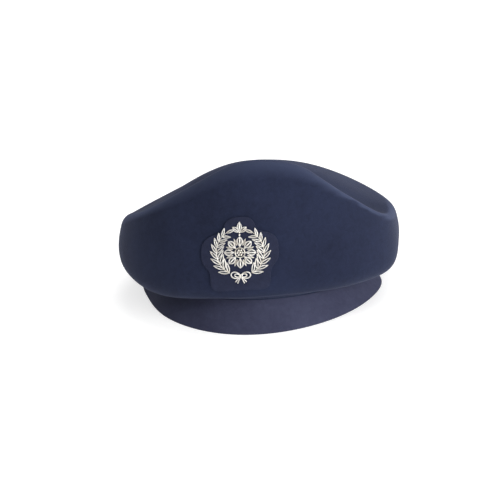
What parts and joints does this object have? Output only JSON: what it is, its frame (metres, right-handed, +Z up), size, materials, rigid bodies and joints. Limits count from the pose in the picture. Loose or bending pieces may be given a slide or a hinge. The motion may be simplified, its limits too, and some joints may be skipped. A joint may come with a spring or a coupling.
{
  "type": "flight attendant cap",
  "caption": "Navy felt cap with a high blocked soft crown, a narrow headband, a short stiffened peak and a silver embroidered badge on a felt patch.",
  "frame": {"origin": "middle of the object's bounding box, on the surface that the cap stands on", "axes": "+Z up, the peak and badge face -Y, +X towards the wearer's left; the cap leans back 4.7 degrees as it stands"},
  "size_m": [0.217, 0.2372, 0.1216],
  "materials": {
    "felt": "matt blocked wool felt, deep navy, with a fine short nap",
    "band_felt": "matt wool felt band, deep navy",
    "peak_felt": "smooth stiffened felt, navy, slightly greyer than the crown",
    "badge_felt": "thin dark navy felt with a cut edge",
    "silver_bullion": "silver metal thread embroidery, coiled purl laid over padding"
  },
  "bodies": {
    "root": {"crown": "felt", "headband": "band_felt", "peak": "peak_felt", "badge_patch": "badge_felt", "badge_rosette": "silver_bullion", "badge_branch_left": "silver_bullion", "badge_branch_right": "silver_bullion", "badge_bud": "silver_bullion", "badge_bow": "silver_bullion"}
  },
  "joints": []
}
